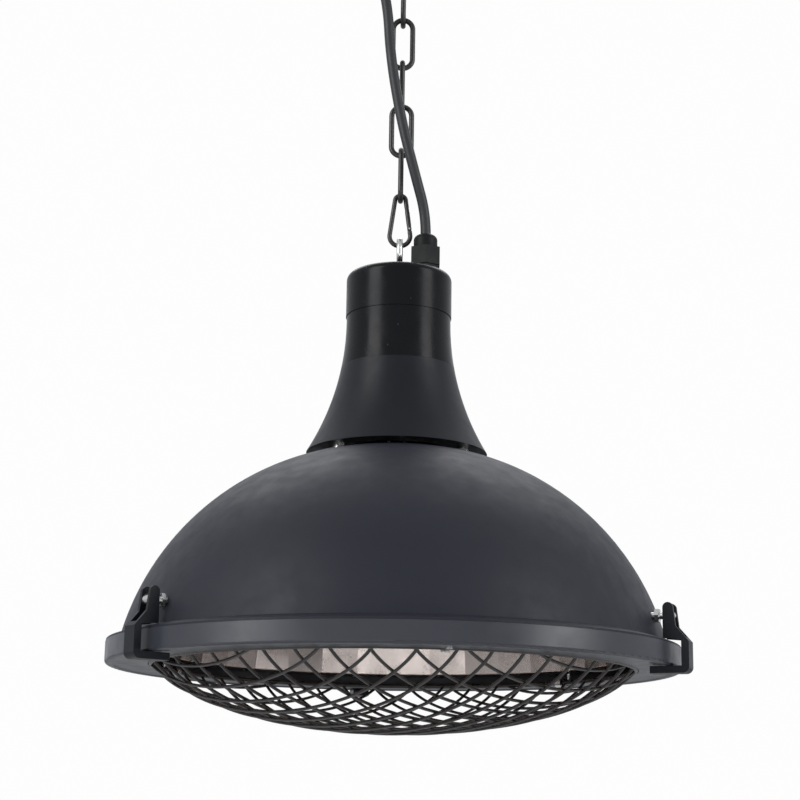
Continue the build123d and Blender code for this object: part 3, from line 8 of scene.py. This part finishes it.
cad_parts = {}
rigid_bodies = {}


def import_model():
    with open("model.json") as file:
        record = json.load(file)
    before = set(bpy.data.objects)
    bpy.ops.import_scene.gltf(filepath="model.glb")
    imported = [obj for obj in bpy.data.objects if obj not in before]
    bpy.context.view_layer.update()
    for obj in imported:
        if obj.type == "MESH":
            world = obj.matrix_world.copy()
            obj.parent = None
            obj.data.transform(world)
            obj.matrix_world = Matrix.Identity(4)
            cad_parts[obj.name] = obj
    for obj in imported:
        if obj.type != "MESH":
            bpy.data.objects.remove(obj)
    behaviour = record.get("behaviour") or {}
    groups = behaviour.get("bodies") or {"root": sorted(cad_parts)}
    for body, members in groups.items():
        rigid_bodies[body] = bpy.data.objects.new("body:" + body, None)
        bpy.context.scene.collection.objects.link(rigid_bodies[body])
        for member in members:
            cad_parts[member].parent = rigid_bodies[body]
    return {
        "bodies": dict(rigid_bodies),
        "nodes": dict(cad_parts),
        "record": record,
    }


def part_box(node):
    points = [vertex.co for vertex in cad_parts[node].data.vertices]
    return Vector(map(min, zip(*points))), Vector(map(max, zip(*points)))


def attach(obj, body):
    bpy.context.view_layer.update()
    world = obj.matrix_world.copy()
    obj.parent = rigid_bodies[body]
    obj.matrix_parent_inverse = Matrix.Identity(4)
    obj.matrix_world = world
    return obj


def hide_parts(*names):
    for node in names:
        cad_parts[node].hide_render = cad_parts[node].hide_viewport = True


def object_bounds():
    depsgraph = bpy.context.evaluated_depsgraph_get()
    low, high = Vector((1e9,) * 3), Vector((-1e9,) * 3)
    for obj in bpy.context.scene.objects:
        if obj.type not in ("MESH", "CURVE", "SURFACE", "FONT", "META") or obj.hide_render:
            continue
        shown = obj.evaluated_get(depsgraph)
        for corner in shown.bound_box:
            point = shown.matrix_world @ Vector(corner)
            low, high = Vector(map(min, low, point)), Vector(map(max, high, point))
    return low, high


# Looks of a hanging ceiling heater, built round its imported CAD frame.
# The ceiling plane is z = 0, the heater's axis is Z and its front faces -Y.
# Lengths are in metres, and angles in degrees unless a line says otherwise.

# Camera, from the lines and ellipses of the photograph: angles in radians, lens and sensor in millimetres
CAMERA_X = 0.0020
CAMERA_DISTANCE = 1.310
CAMERA_BELOW_RING = 0.106
CAMERA_TILT = 0.233
CAMERA_ROLL = 0.015
CAMERA_LENS = 79.5
CAMERA_SENSOR = 36.0

# Surroundings: what lights the heater, what it mirrors and what the camera sees behind it
SKY_COLOUR = (0.93, 0.96, 1.0)
SKY_STRENGTH = 0.30
MIRRORED_STRENGTH = 0.75
BACKDROP_GREY = 0.985
FLOOR_HALF_SIDE = 6.0
FLOOR_DROP = 0.45
FLOOR_GREY = 0.80

# Area lights: place from the ring's centre, height aimed at above the ring, width and height, watts
LIGHTS = (
    ("key_left", (-1.5, -1.1, 0.9), 0.12, (0.9, 1.6), 26.0),
    ("fill_right", (1.6, -0.8, 0.6), 0.12, (0.7, 1.6), 18.0),
    ("front_low", (0.0, -1.9, -0.7), 0.12, (2.4, 0.9), 16.0),
    ("from_below", (-0.3, -0.5, -0.45), 0.0, (2.2, 1.6), 3.0),
    ("top_back", (0.0, 1.0, 1.5), 0.12, (2.0, 0.8), 10.0),
)

# Surfaces: how noise turns into colour, gloss and grain
NOISE_LOW = 0.3
NOISE_HIGH = 0.7
NOISE_DETAIL = 4.0
NOISE_ROUGHNESS = 0.55
GLOSS_SCALE_RATIO = 6
GLOSS_SPREAD = 0.06
LEAST_ROUGHNESS = 0.02
GRAIN_DETAIL = 3.0
GRAIN_DEPTH = 0.0002
COAT_ROUGHNESS = 0.08
NODE_SHARP_ANGLE = 32
WIRE_SHARP_ANGLE = 50

# Dust on the gloss enamel
DUST_CELLS = 130.0
DUST_REACH = 0.075
DUST_PATCHES = 45.0
DUST_PATCH_START = 0.56
DUST_PATCH_END = 0.64
DUST_COLOUR = (0.35, 0.36, 0.38, 1.0)

# Ruby glass of the lamp
RUBY_DARK = (0.62, 0.05, 0.02)
RUBY_LIGHT = (0.80, 0.12, 0.05)
RUBY_STREAKS = 160.0
RUBY_ROUGHNESS = 0.06
RUBY_TRANSMISSION = 0.75
GLASS_IOR = 1.45

# Cable, with the route of the CAD source and the body that each of its points follows
CABLE_DIAMETER = 0.008
CABLE_ROUTE = (
    (0.0200, -0.0040, -0.27104),
    (0.0200, -0.0040, -0.25404),
    (0.0115, -0.0145, -0.22604),
    (0.0000, -0.0180, -0.18304),
    (-0.0095, -0.0170, -0.12804),
    (-0.0125, -0.0150, -0.08104),
    (-0.0220, -0.0100, -0.04620),
    (-0.0220, -0.0100, -0.02620),
)
CABLE_FOLLOWS = ("heater", "heater", "snap_hook", "link_1", "link_3", "link_5", "ceiling", "ceiling")
CABLE_ORDER = 3
CABLE_ROUND = 8
CABLE_STEPS = 24

# Wire guard: wires are given by their radius, steps and rounds are counts
GUARD_EDGE_RADIUS = 0.1768
GUARD_EDGE_WIRE = 0.0018
GUARD_EDGE_HEIGHT = 0.0016
GUARD_EDGE_STEPS = 180
GUARD_DEPTH = 0.0455
GUARD_FULLNESS = 0.95
GUARD_WIRE = 0.00115
GUARD_WIRE_STEPS = 48
GUARD_PITCH = 0.0224
GUARD_ANGLE = 50.0
GUARD_ROUND = 12

# Lamp: its ring is open at the rear, and a coil runs inside its tube
LAMP_RING_RADIUS = 0.095
LAMP_HEIGHT = 0.075
LAMP_MOUTH = 30.0
LAMP_MOUTH_PLACE = 90.0
COIL_RADIUS = 0.0026
COIL_WIRE = 0.0004
COIL_TURNS = 150
COIL_STEPS = 10
COIL_ROUND = 5


def grey(value):
    return (value, value, value)


def node_tree(material):
    """Nodes, links and main shader of a material."""
    material.use_nodes = True
    nodes = material.node_tree.nodes
    return nodes, material.node_tree.links, nodes["Principled BSDF"]


def noise(nodes, links, scale, detail=NOISE_DETAIL):
    """Noise over the object's own coordinates, in metres."""
    place = nodes.new("ShaderNodeTexCoord")
    texture = nodes.new("ShaderNodeTexNoise")
    texture.inputs["Scale"].default_value = scale
    texture.inputs["Detail"].default_value = detail
    texture.inputs["Roughness"].default_value = NOISE_ROUGHNESS
    links.new(place.outputs["Object"], texture.inputs["Vector"])
    return texture.outputs["Fac"]


def ramp(nodes, links, value, start, first, end, last):
    """Colour that goes from first to last as the value goes from start to end."""
    node = nodes.new("ShaderNodeValToRGB")
    for element, position, colour in zip(node.color_ramp.elements, (start, end), (first, last)):
        element.position = position
        element.color = (*colour, 1.0)
    links.new(value, node.inputs["Fac"])
    return node.outputs["Color"]


def blotches(nodes, links, scale, low, high):
    """Soft patches between two colours."""
    return ramp(nodes, links, noise(nodes, links, scale), NOISE_LOW, low, NOISE_HIGH, high)


def add_grain(nodes, links, shader, scale, strength):
    """Fine unevenness of the surface."""
    node = nodes.new("ShaderNodeBump")
    node.inputs["Strength"].default_value = strength
    node.inputs["Distance"].default_value = GRAIN_DEPTH
    links.new(noise(nodes, links, scale, GRAIN_DETAIL), node.inputs["Height"])
    links.new(node.outputs["Normal"], shader.inputs["Normal"])


def finish_material(
    name, colour, roughness, metallic=0.0, specular=0.5, coat=0.0, blotch=12.0, spread=0.15,
    grain=0.0, grain_scale=900.0,
):
    """Painted, plated or moulded surface: slow blotches in colour and gloss over a fine grain."""
    material = bpy.data.materials.new(name)
    nodes, links, shader = node_tree(material)
    low = tuple(c * (1 - spread) for c in colour)
    high = tuple(min(1.0, c * (1 + spread)) for c in colour)
    links.new(blotches(nodes, links, blotch, low, high), shader.inputs["Base Color"])
    smooth = grey(max(LEAST_ROUGHNESS, roughness - GLOSS_SPREAD))
    dull = grey(roughness + GLOSS_SPREAD)
    gloss = blotches(nodes, links, blotch * GLOSS_SCALE_RATIO, smooth, dull)
    links.new(gloss, shader.inputs["Roughness"])
    shader.inputs["Metallic"].default_value = metallic
    shader.inputs["Specular IOR Level"].default_value = specular
    shader.inputs["Coat Weight"].default_value = coat
    shader.inputs["Coat Roughness"].default_value = COAT_ROUGHNESS
    if grain:
        add_grain(nodes, links, shader, grain_scale, grain)
    return material


def dusty_gloss(name, colour, roughness):
    """Gloss enamel with a few pale specks of dust."""
    material = finish_material(name, colour, roughness, specular=0.12, grain=0.05, grain_scale=60.0)
    nodes, links, shader = node_tree(material)
    enamel = shader.inputs["Base Color"].links[0].from_socket
    place = nodes.new("ShaderNodeTexCoord")
    cells = nodes.new("ShaderNodeTexVoronoi")
    cells.inputs["Scale"].default_value = DUST_CELLS
    links.new(place.outputs["Object"], cells.inputs["Vector"])
    specks = ramp(nodes, links, cells.outputs["Distance"], 0.0, grey(1.0), DUST_REACH, grey(0.0))
    patches = noise(nodes, links, DUST_PATCHES)
    patches = ramp(nodes, links, patches, DUST_PATCH_START, grey(0.0), DUST_PATCH_END, grey(1.0))
    dust = nodes.new("ShaderNodeMix")
    dust.data_type = "RGBA"
    dust.blend_type = "MULTIPLY"
    dust.inputs["Factor"].default_value = 1.0
    links.new(specks, dust.inputs["A"])
    links.new(patches, dust.inputs["B"])
    mix = nodes.new("ShaderNodeMix")
    mix.data_type = "RGBA"
    mix.inputs["B"].default_value = DUST_COLOUR
    links.new(dust.outputs["Result"], mix.inputs["Factor"])
    links.new(enamel, mix.inputs["A"])
    links.new(mix.outputs["Result"], shader.inputs["Base Color"])
    return material


def ruby_glass(name):
    """Red quartz glass, a little streaky."""
    material = bpy.data.materials.new(name)
    nodes, links, shader = node_tree(material)
    streaks = blotches(nodes, links, RUBY_STREAKS, RUBY_DARK, RUBY_LIGHT)
    links.new(streaks, shader.inputs["Base Color"])
    shader.inputs["Roughness"].default_value = RUBY_ROUGHNESS
    shader.inputs["Transmission Weight"].default_value = RUBY_TRANSMISSION
    shader.inputs["IOR"].default_value = GLASS_IOR
    return material


def make_materials():
    """One material for each slot of the record."""
    return {
        "gloss_black": dusty_gloss("enamel_gloss_black", (0.0045, 0.0050, 0.0062), 0.26),
        "satin_grey": finish_material(
            "paint_satin_grey", (0.006, 0.0068, 0.010), 0.40, specular=0.2, grain=0.08, grain_scale=1400.0
        ),
        "textured_grey": finish_material(
            "powder_coat_grey", (0.016, 0.017, 0.0245), 0.50, specular=0.20, spread=0.06, grain=0.28,
            grain_scale=1100.0,
        ),
        "ring_grey": finish_material(
            "paint_ring_grey", (0.026, 0.028, 0.037), 0.34, specular=0.40, spread=0.07, grain=0.14,
            grain_scale=1400.0,
        ),
        "black_steel": finish_material(
            "black_wire", (0.016, 0.0135, 0.0135), 0.32, grain=0.1, grain_scale=1500.0
        ),
        "zinc_steel": finish_material(
            "zinc_plate", (0.62, 0.62, 0.60), 0.24, metallic=1.0, blotch=90.0, grain=0.1, grain_scale=2500.0
        ),
        # Reflector: pale aluminium grey with a pink tint that is a painted reflection of the ruby lamp
        "polished_aluminium": finish_material(
            "polished_sheet", (0.60, 0.53, 0.50), 0.24, metallic=1.0, blotch=9.0, spread=0.12, grain=0.03,
            grain_scale=500.0,
        ),
        "cable_rubber": finish_material(
            "cable_rubber", (0.016, 0.0175, 0.0195), 0.48, specular=0.4, grain=0.12, grain_scale=1800.0
        ),
        "black_plastic": finish_material(
            "moulded_nylon", (0.0045, 0.0052, 0.0054), 0.50, specular=0.16, grain=0.08, grain_scale=1500.0
        ),
        "ruby_glass": ruby_glass("ruby_quartz"),
        "ceramic": finish_material(
            "glazed_steatite", (0.78, 0.75, 0.68), 0.3, coat=0.3, spread=0.05, grain=0.05, grain_scale=500.0
        ),
        "lead_sleeve": finish_material(
            "silicone_sleeve", (0.42, 0.24, 0.15), 0.5, grain=0.1, grain_scale=1500.0
        ),
    }


def dress_nodes(frame, materials):
    """Gives every CAD node the material of its slot, and smooth shading but on the reflector's facets."""
    slots = {part["node"]: part["material_slot"] for part in frame["record"]["subparts"]}
    for name, obj in frame["nodes"].items():
        obj.data.materials.clear()
        obj.data.materials.append(materials[slots[name]])
        obj.data.set_sharp_from_angle(angle=radians(NODE_SHARP_ANGLE))
        for polygon in obj.data.polygons:
            polygon.use_smooth = name != "reflector"


def add_object(name, data):
    obj = bpy.data.objects.new(name, data)
    bpy.context.scene.collection.objects.link(obj)
    return obj


def add_piece(name, data, body, materials, slot):
    """Adds a piece of the heater that rides on a body and has the finish of a slot."""
    piece = add_object(name, data)
    piece.data.materials.append(materials[slot])
    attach(piece, body)
    return piece


def make_cable(frame, materials):
    """Rubber cable from the gland up beside the chain into the rose."""
    curve = bpy.data.curves.new("power_cable_route", "CURVE")
    curve.dimensions = "3D"
    # The bevel is 1 and the points' radii give the thickness, so that the curve's box is true
    curve.bevel_depth = 1.0
    curve.bevel_resolution = CABLE_ROUND
    curve.resolution_u = CABLE_STEPS
    spline = curve.splines.new("NURBS")
    spline.points.add(len(CABLE_ROUTE) - 1)
    for point, place in zip(spline.points, CABLE_ROUTE):
        point.co = (*place, 1.0)
        point.radius = CABLE_DIAMETER / 2
    spline.order_u = CABLE_ORDER
    spline.use_endpoint_u = True
    cable = add_piece("cable", curve, "heater", materials, "cable_rubber")
    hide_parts("power_cable")
    # The cable rides on the heater, and hooks tie its other points to the bodies beside it
    for index, body in enumerate(CABLE_FOLLOWS):
        if body != "heater":
            hook = cable.modifiers.new(f"follow_{index}", "HOOK")
            hook.object = frame["bodies"][body]
            hook.vertex_indices_set([index])


def on_circle(radius, turn, height):
    """Point at a radius from the heater's axis; the turn is in radians."""
    return Vector((radius * cos(turn), radius * sin(turn), height))


def add_tube(builder, points, radius, sides, closed=False):
    """Adds a round tube along points to a bmesh."""
    rings = []
    count = len(points)
    for i, point in enumerate(points):
        before = points[i - 1] if i or closed else point
        after = points[(i + 1) % count] if i < count - 1 or closed else point
        along = (after - before).normalized()
        side = along.cross(Vector((0, 0, 1))).normalized()
        up = side.cross(along)
        ring = []
        for k in range(sides):
            turn = 2 * pi * k / sides
            ring.append(builder.verts.new(point + (side * cos(turn) + up * sin(turn)) * radius))
        rings.append(ring)
    following = rings[1:] + rings[:1] if closed else rings[1:]
    for first, second in zip(rings, following):
        for k in range(sides):
            after_k = (k + 1) % sides
            builder.faces.new((first[k], first[after_k], second[after_k], second[k]))
    if not closed:
        builder.faces.new(list(reversed(rings[0])))
        builder.faces.new(rings[-1])


def wire_mesh(builder, name):
    """Mesh of the tubes in a bmesh, smooth round the wires and sharp at their ends."""
    bmesh.ops.recalc_face_normals(builder, faces=builder.faces)
    data = bpy.data.meshes.new(name)
    builder.to_mesh(data)
    builder.free()
    for polygon in data.polygons:
        polygon.use_smooth = True
    data.set_sharp_from_angle(angle=radians(WIRE_SHARP_ANGLE))
    return data


def guard_wire(angle, offset, span, rise, centre_z):
    """Points of one wire, where an upright plane beside the axis cuts a flattened dome."""
    normal = Vector((cos(radians(angle)), sin(radians(angle)), 0))
    along = Vector((-normal.y, normal.x, 0))
    share = sqrt(1 - (offset / span) ** 2)
    reach = sqrt(GUARD_EDGE_RADIUS**2 - offset**2)
    half = asin(reach / (span * share))
    points = []
    for k in range(GUARD_WIRE_STEPS + 1):
        turn = half * (2 * k / GUARD_WIRE_STEPS - 1)
        height = Vector((0, 0, centre_z - rise * share * cos(turn)))
        points.append(normal * offset + along * span * share * sin(turn) + height)
    return points


def make_guard(materials):
    """Domed guard of round wires: an edge wire and two families, one lying under the other."""
    edge_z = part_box("rim_ring")[0].z + GUARD_EDGE_HEIGHT
    span = GUARD_EDGE_RADIUS / GUARD_FULLNESS
    rise = GUARD_DEPTH / (1 - sqrt(1 - GUARD_FULLNESS**2))
    centre_z = edge_z - GUARD_DEPTH + rise
    builder = bmesh.new()
    turns = [2 * pi * i / GUARD_EDGE_STEPS for i in range(GUARD_EDGE_STEPS)]
    edge = [on_circle(GUARD_EDGE_RADIUS, turn, edge_z) for turn in turns]
    add_tube(builder, edge, GUARD_EDGE_WIRE, GUARD_ROUND, closed=True)
    count = round(GUARD_EDGE_RADIUS / GUARD_PITCH)
    families = ((90 - GUARD_ANGLE, rise + GUARD_WIRE), (90 + GUARD_ANGLE, rise - GUARD_WIRE))
    for angle, family_rise in families:
        for i in range(-count, count):
            points = guard_wire(angle, (i + 0.5) * GUARD_PITCH, span, family_rise, centre_z)
            add_tube(builder, points, GUARD_WIRE, GUARD_ROUND)
    guard = add_piece("wire_guard", wire_mesh(builder, "wire_guard"), "heater", materials, "black_steel")
    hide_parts("grille", "grille_edge")


def make_lamp_coil(materials):
    """Heating coil inside the lamp's tube."""
    centre_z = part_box("rim_ring")[0].z + LAMP_HEIGHT
    sweep = radians(360 - LAMP_MOUTH)
    start = radians(LAMP_MOUTH_PLACE + LAMP_MOUTH / 2)
    count = COIL_TURNS * COIL_STEPS
    points = []
    for i in range(count + 1):
        around = start + sweep * i / count
        turn = 2 * pi * i / COIL_STEPS
        radius = LAMP_RING_RADIUS + COIL_RADIUS * cos(turn)
        points.append(on_circle(radius, around, centre_z + COIL_RADIUS * sin(turn)))
    builder = bmesh.new()
    add_tube(builder, points, COIL_WIRE, COIL_ROUND)
    add_piece("lamp_coil", wire_mesh(builder, "lamp_coil"), "heater", materials, "zinc_steel")


def background(node, colour, strength):
    node.inputs["Color"].default_value = (*colour, 1.0)
    node.inputs["Strength"].default_value = strength
    return node.outputs["Background"]


def choose(nodes, links, is_ray, others, chosen):
    """Shader that shows chosen to the rays of one kind, and others to the rest."""
    mix = nodes.new("ShaderNodeMixShader")
    links.new(is_ray, mix.inputs["Fac"])
    links.new(others, mix.inputs[1])
    links.new(chosen, mix.inputs[2])
    return mix.outputs["Shader"]


def make_world():
    """Even pale surroundings: nearly white behind the heater, dimmer as light on it."""
    world = bpy.data.worlds.new("studio")
    bpy.context.scene.world = world
    world.use_nodes = True
    nodes = world.node_tree.nodes
    links = world.node_tree.links
    sky = background(nodes["Background"], SKY_COLOUR, SKY_STRENGTH)
    seen = background(nodes.new("ShaderNodeBackground"), grey(BACKDROP_GREY), 1.0)
    mirrored = background(nodes.new("ShaderNodeBackground"), SKY_COLOUR, MIRRORED_STRENGTH)
    path = nodes.new("ShaderNodeLightPath")
    lit = choose(nodes, links, path.outputs["Is Glossy Ray"], sky, mirrored)
    shown = choose(nodes, links, path.outputs["Is Camera Ray"], lit, seen)
    links.new(shown, nodes["World Output"].inputs["Surface"])


def make_floor(low):
    """Plain floor below the heater's lowest point."""
    builder = bmesh.new()
    bmesh.ops.create_grid(builder, x_segments=2, y_segments=2, size=FLOOR_HALF_SIDE)
    data = bpy.data.meshes.new("floor")
    builder.to_mesh(data)
    builder.free()
    floor = add_object("floor", data)
    floor.location = (0, 0, low - FLOOR_DROP)
    paint = finish_material("floor_paint", grey(FLOOR_GREY), 0.7, blotch=1.5, spread=0.01)
    floor.data.materials.append(paint)


def make_lights(ring_z):
    """Soft area lights round the heater, each turned to a point on its axis."""
    for name, (x, y, height), aim, size, watts in LIGHTS:
        light = bpy.data.lights.new(name, "AREA")
        light.shape = "RECTANGLE"
        light.size, light.size_y = size
        light.energy = watts
        lamp = add_object(name, light)
        place = Vector((x, y, ring_z + height))
        target = Vector((0, 0, ring_z + aim))
        lamp.location = place
        lamp.rotation_euler = (target - place).to_track_quat("-Z", "Y").to_euler()


def make_camera(ring_z):
    """Camera of the photograph: in front, a little below the ring, looking up."""
    data = bpy.data.cameras.new("camera")
    data.lens = CAMERA_LENS
    data.sensor_width = CAMERA_SENSOR
    camera = add_object("camera", data)
    place = Matrix.Translation((CAMERA_X, -CAMERA_DISTANCE, ring_z - CAMERA_BELOW_RING))
    tilt = Matrix.Rotation(pi / 2 + CAMERA_TILT, 4, "X")
    roll = Matrix.Rotation(CAMERA_ROLL, 4, "Z")
    camera.matrix_world = place @ tilt @ roll
    bpy.context.scene.camera = camera


def main():
    bpy.ops.object.select_all(action="SELECT")
    bpy.ops.object.delete()
    bpy.context.scene.view_settings.view_transform = "Standard"
    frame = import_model()
    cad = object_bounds()
    ring_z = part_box("rim_ring")[0].z
    materials = make_materials()
    dress_nodes(frame, materials)
    make_cable(frame, materials)
    make_guard(materials)
    make_lamp_coil(materials)
    make_world()
    make_floor(cad[0].z)
    make_lights(ring_z)
    make_camera(ring_z)
    # Objects placed above have a true box only after an update
    bpy.context.view_layer.update()


main()
